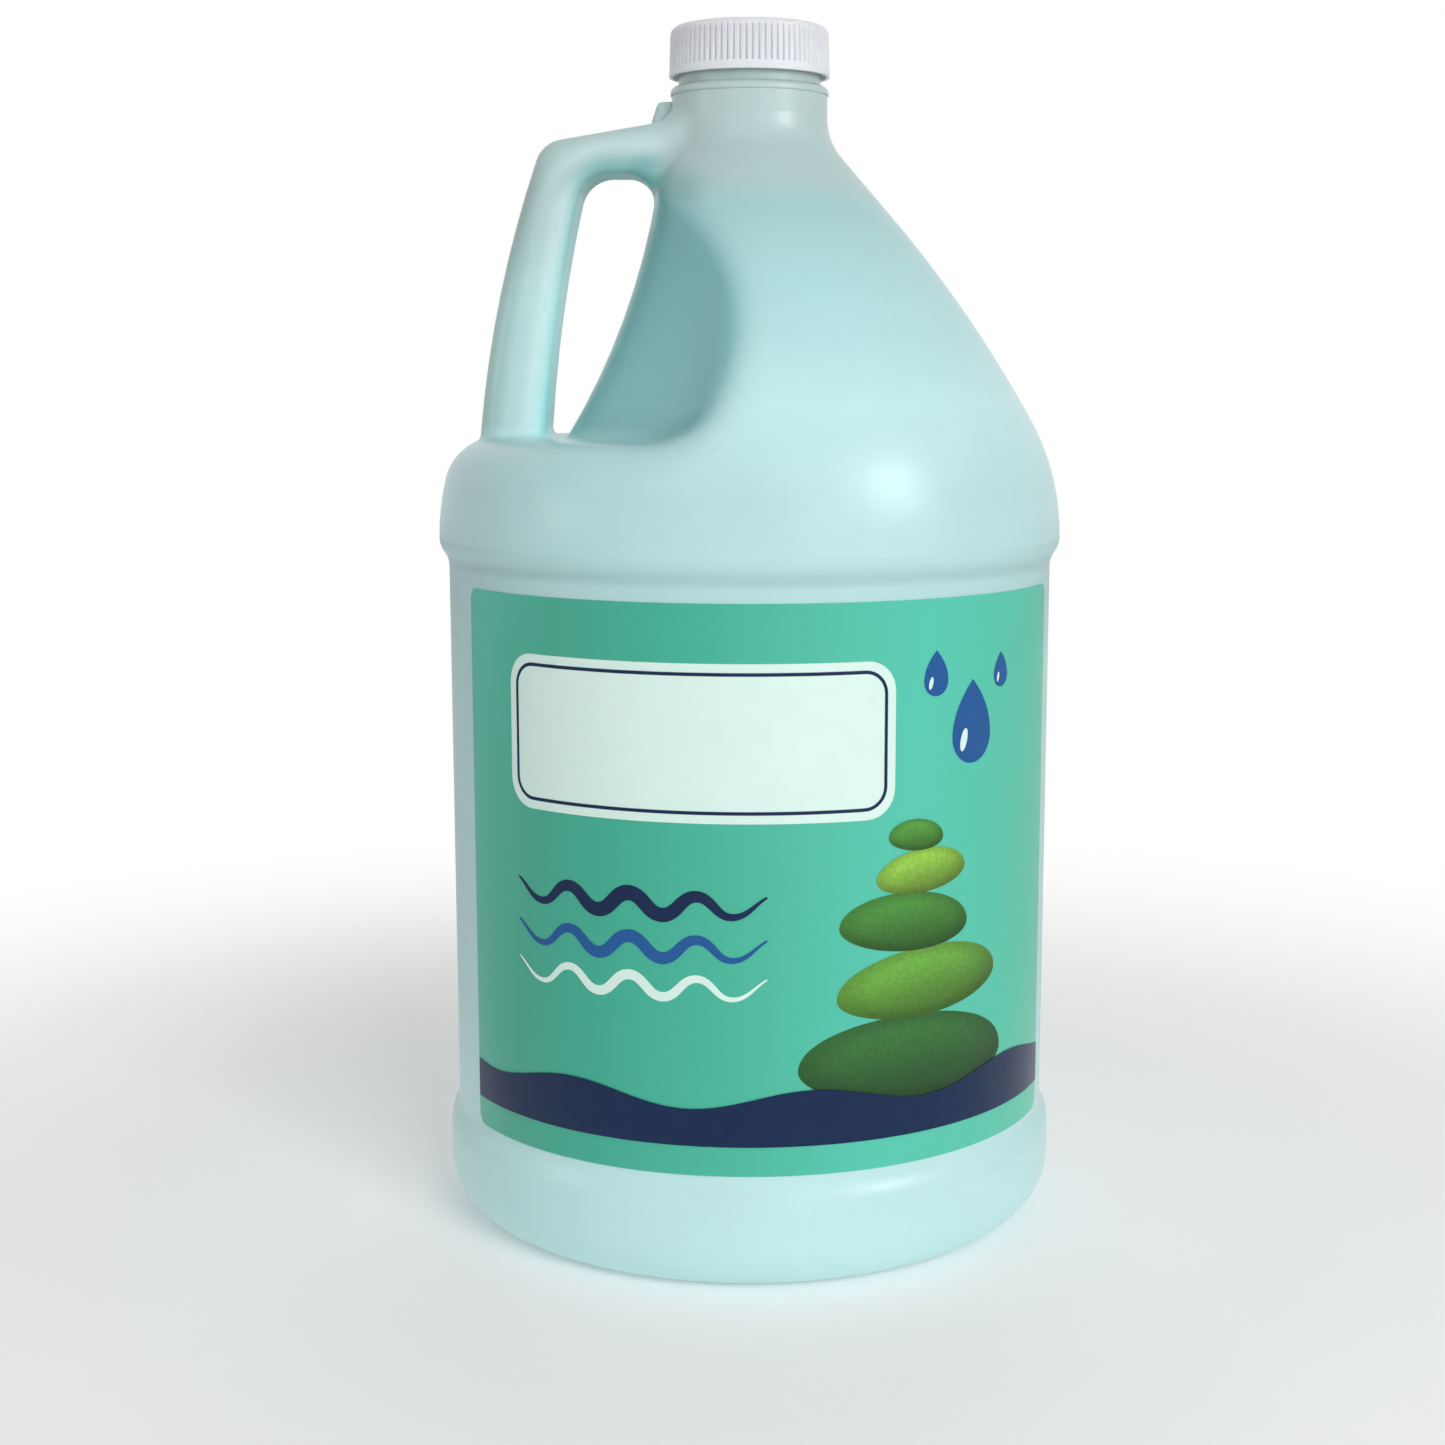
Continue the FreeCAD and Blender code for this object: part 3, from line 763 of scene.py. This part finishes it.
# %% Panel and keyline
PANEL_MIDDLE, PANEL_RISE = -14 * MM, 100 * MM
KEYLINE_WIDTH = 0.8 * MM


def rounded_plane(width, height, corner):
    """A flat plane with round corners at the panel's place."""
    fresh()
    bpy.ops.mesh.primitive_plane_add(size=1, location=(PANEL_MIDDLE, 0, film_foot + PANEL_RISE),
                                     rotation=STANDING)
    plane = bpy.context.object
    plane.scale = (width, height, 1)
    bpy.ops.object.transform_apply(location=True, rotation=True, scale=True)
    bpy.ops.object.mode_set(mode="EDIT")
    bpy.ops.mesh.select_all(action="SELECT")
    bpy.ops.mesh.bevel(offset=corner, segments=8, affect="VERTICES")
    bpy.ops.object.mode_set(mode="OBJECT")
    return plane


panel = rounded_plane(96 * MM, 36 * MM, 7 * MM)
cut_strips(panel)
modify(panel, "SOLIDIFY", thickness=INK, offset=1)
lay_on_film(panel, "label_panel", 1, pale_ink)

keyline = rounded_plane(92 * MM, 32 * MM, 5.5 * MM)
bpy.ops.object.mode_set(mode="EDIT")
bpy.ops.mesh.select_mode(type="FACE")
bpy.ops.mesh.select_all(action="SELECT")
bpy.ops.mesh.inset(thickness=KEYLINE_WIDTH)
bpy.ops.mesh.delete(type="FACE")
bpy.ops.object.mode_set(mode="OBJECT")
cut_strips(keyline)
modify(keyline, "SOLIDIFY", thickness=INK, offset=1)
lay_on_film(keyline, "label_keyline", 2, navy_ink)

# %% [markdown]
# The navy foot is a fine grid across the whole film. The points of its upper edge are raised and
# lowered as a slow swell, which a formula gives more evenly than the hand would.

# %% Navy foot
FILM_LEFT, FILM_RIGHT = -80.1 * MM, 93.7 * MM
FOOT_HEIGHT, FOOT_RISE = 11 * MM, 12.5 * MM
SWELL, SWELL_LENGTH = 2.2 * MM, 58 * MM
fresh()
bpy.ops.mesh.primitive_grid_add(x_subdivisions=70, y_subdivisions=3, size=1, rotation=STANDING)
foot = bpy.context.object
foot.scale = (FILM_RIGHT - FILM_LEFT, FOOT_HEIGHT, 1)
foot.location = ((FILM_LEFT + FILM_RIGHT) / 2, 0, film_foot + FOOT_RISE)
bpy.ops.object.transform_apply(location=True, rotation=True, scale=True)
crest = max(vertex.co.z for vertex in foot.data.vertices)
for vertex in foot.data.vertices:
    if vertex.co.z > crest - 0.1 * MM:
        vertex.co.z += SWELL * math.sin(2 * math.pi * vertex.co.x / SWELL_LENGTH)
modify(foot, "SOLIDIFY", thickness=INK, offset=1)
lay_on_film(foot, "label_foot", 5, navy_ink)

# %% [markdown]
# A painted wave is a stroke that swells and thins. A Bezier curve with a round bevel does this,
# because each of its points has its own thickness. The tube is then made a mesh and pressed flat.

# %% Painted waves
WAVE_LEFT, WAVE_RIGHT = -60 * MM, 4 * MM
WAVE_KNOTS, WAVE_SWING, WAVE_TIP = 9, 2.3 * MM, 0.15


def stroke(points, thickness):
    """A flat stroke through points of X, Z and share of the thickness."""
    fresh()
    bpy.ops.curve.primitive_bezier_curve_add()
    line = bpy.context.object
    bpy.ops.object.mode_set(mode="EDIT")
    bpy.ops.curve.select_all(action="SELECT")
    bpy.ops.curve.subdivide(number_cuts=len(points) - 2)
    bpy.ops.object.mode_set(mode="OBJECT")
    for knot, (x, z, share) in zip(line.data.splines[0].bezier_points, points):
        knot.handle_left_type = knot.handle_right_type = "AUTO"
        knot.co = (x, 0, z)
        knot.radius = share
    line.data.bevel_depth = thickness / 2
    line.data.bevel_resolution = 2
    line.data.use_fill_caps = True
    bpy.ops.object.convert(target="MESH")
    line = bpy.context.object
    line.scale = (1, INK / thickness, 1)
    bpy.ops.object.transform_apply(location=True, rotation=True, scale=True)
    return line


def wave(rise, thickness):
    """A wave at a height above the film's foot, thickest in its middle."""
    points = []
    for index in range(WAVE_KNOTS):
        share = index / (WAVE_KNOTS - 1)
        side = -1 if index % 2 else 1
        points.append((WAVE_LEFT + (WAVE_RIGHT - WAVE_LEFT) * share,
                       film_foot + rise + side * WAVE_SWING,
                       WAVE_TIP + (1 - WAVE_TIP) * math.sin(math.pi * share)))
    return stroke(points, thickness)


lay_on_film(wave(63 * MM, 3.6 * MM), "label_wave_high", 2, navy_ink)
lay_on_film(wave(53 * MM, 3.0 * MM), "label_wave_middle", 2, blue_ink)
lay_on_film(wave(44 * MM, 2.4 * MM), "label_wave_low", 2, pale_ink)

# %% [markdown]
# On the right a pile of smooth stones stands in the water of the navy foot, in four-colour print.
# The UV map of each stone runs from edge to edge, so the shading can follow it: lit from above,
# darker at the rim, with specks from a fifth of a millimetre upwards. An attribute named tone says
# how dark or light a green the stone is.

# %% Stone inks
TOWARDS_LIGHT = (-0.25, 0.9, 0)
stone_ink, tree, shader = new_material("green_stone_process_inks")
coordinates = add(tree, "ShaderNodeTexCoord").outputs
tone = add(tree, "ShaderNodeAttribute", attribute_name="tone")
green = add(tree, "ShaderNodeValToRGB", {"Fac": tone.outputs["Fac"]})
green.color_ramp.elements[0].color = paint("24552F")
green.color_ramp.elements[1].color = paint("8DBB45")
green.color_ramp.elements.new(0.5).color = paint("4A8A36")
local = add(tree, "ShaderNodeVectorMath", {0: coordinates["UV"], 1: (0.5, 0.5, 0)},
            operation="SUBTRACT").outputs[0]
upward = add(tree, "ShaderNodeVectorMath", {0: local, 1: TOWARDS_LIGHT}, operation="DOT_PRODUCT")
lit = add(tree, "ShaderNodeMapRange",
          {"Value": upward.outputs["Value"], "From Min": -0.45, "From Max": 0.45,
           "To Min": 0.55, "To Max": 1.4}, interpolation_type="SMOOTHSTEP")
from_middle = add(tree, "ShaderNodeVectorMath", {0: local}, operation="LENGTH")
rim = add(tree, "ShaderNodeMapRange",
          {"Value": from_middle.outputs["Value"], "From Min": 0.3, "From Max": 0.5,
           "To Min": 1.0, "To Max": 0.68}, interpolation_type="SMOOTHSTEP")
specks = add(tree, "ShaderNodeTexNoise",
             {"Vector": coordinates["Object"], "Scale": 1 / (0.9 * MM), "Detail": 3,
              "Roughness": 0.7})
mottle = add(tree, "ShaderNodeMapRange",
             {"Value": specks.outputs[0], "From Min": 0.35, "From Max": 0.65,
              "To Min": 0.88, "To Max": 1.12})
form = add(tree, "ShaderNodeMath", {0: lit.outputs[0], 1: rim.outputs[0]}, operation="MULTIPLY")
shade = add(tree, "ShaderNodeMath", {0: form.outputs[0], 1: mottle.outputs[0]},
            operation="MULTIPLY")
colour = add(tree, "ShaderNodeVectorMath", {0: green.outputs[0], 1: shade.outputs[0]},
             operation="MULTIPLY")
tree.links.new(colour.outputs[0], shader.inputs["Base Color"])
shader.inputs["Roughness"].default_value = VARNISH_ROUGHNESS
shader.inputs["Specular IOR Level"].default_value = INK_GLOSS
print(stone_ink.name, "has", len(tree.nodes), "nodes")

# %% [markdown]
# A stone is modelled once, a disc of width 1 whose lower half is pressed flatter than its upper
# half, as a stone that lies on another one looks.

# %% Stone
LOWER_HALF = 0.72


def disc(points):
    """A flat disc of width 1 that stands in the plane of the art."""
    fresh()
    bpy.ops.mesh.primitive_circle_add(vertices=points, radius=0.5, fill_type="NGON",
                                      rotation=STANDING)
    bpy.ops.object.transform_apply(location=True, rotation=True, scale=True)
    return bpy.context.object


stone = disc(72)
pick(stone, lambda co: co.z < -0.001)
bpy.ops.transform.resize(value=(1, 1, LOWER_HALF), center_override=(0, 0, 0))
bpy.ops.object.mode_set(mode="OBJECT")
print("stone", round(stone.dimensions.z, 2), "high for a width of 1")

# %% [markdown]
# The pile is made of copies with their own sizes, tilts and greens, joined into one piece of print.
# Each copy lies an ink layer further out than the one before it, so the upper stones cover the
# lower ones.

# %% Pile of stones
def set_out(shape, name, layer, ink, copies):
    """Copies of a shape of width 1 on the film, joined; each has its middle, size, tilt, tone."""
    pieces = []
    for index, (along, rise, width, height, tilt, tone) in enumerate(copies):
        fresh()
        shape.select_set(True)
        bpy.context.view_layer.objects.active = shape
        bpy.ops.object.duplicate()
        copy = bpy.context.object
        copy.scale = (width * MM, 1, height * MM)
        copy.rotation_euler.y = math.radians(tilt)
        copy.location = (along * MM, -index * INK, film_foot + rise * MM)
        bpy.ops.object.transform_apply(location=True, rotation=True, scale=True)
        cut_strips(copy)
        modify(copy, "SOLIDIFY", thickness=INK / 2, offset=1)
        mark = copy.data.attributes.new("tone", "FLOAT", "POINT")
        mark.data.foreach_set("value", [tone] * len(copy.data.vertices))
        pieces.append(copy)
    bpy.data.objects.remove(shape)
    fresh()
    for piece in pieces:
        piece.select_set(True)
    bpy.context.view_layer.objects.active = pieces[0]
    bpy.ops.object.join()
    lay_on_film(pieces[0], name, layer, ink)


PILE_MIDDLE, PILE_RISE = 40, 15
LYING_DEPTH, STACKING = 0.36, 0.83
pile = []
rise = PILE_RISE
for width, height, shift, tilt, tone in (
        (58, 24, 0, 2, 0.12), (46, 19, 3, -3, 0.62), (35, 16, -2, 3, 0.36),
        (25, 12, 2, -4, 0.9), (15, 8.5, 0, 4, 0.5)):
    pile.append((PILE_MIDDLE + shift, rise + LYING_DEPTH * height, width, height, tilt, tone))
    rise += STACKING * height
set_out(stone, "label_stones", 1, stone_ink, pile)

# %% [markdown]
# Three drops fall towards the stones. A drop is a disc whose upper half is drawn out to a point:
# its points go up to twice their height and come in by their share of the width, which keeps the
# sides smooth. A small pale oval on each is its glint.

# %% Drops
GLINT_TILT = 14
drop = disc(64)
for vertex in drop.data.vertices:
    if vertex.co.z > 0:
        vertex.co.x *= abs(vertex.co.x) / 0.5
        vertex.co.z *= 2
drops = ((45, 112.5, 7, 7, 0, 0), (56.5, 99, 13, 13, 0, 0), (67, 112, 5.5, 5.5, 0, 0))
set_out(drop, "label_drops", 1, blue_ink, drops)
glints = [(along - 0.22 * width, rise - 0.06 * height, 0.16 * width, 0.42 * height, GLINT_TILT, 0)
          for along, rise, width, height, *_ in drops]
set_out(disc(32), "label_drop_glints", 4, pale_ink, glints)
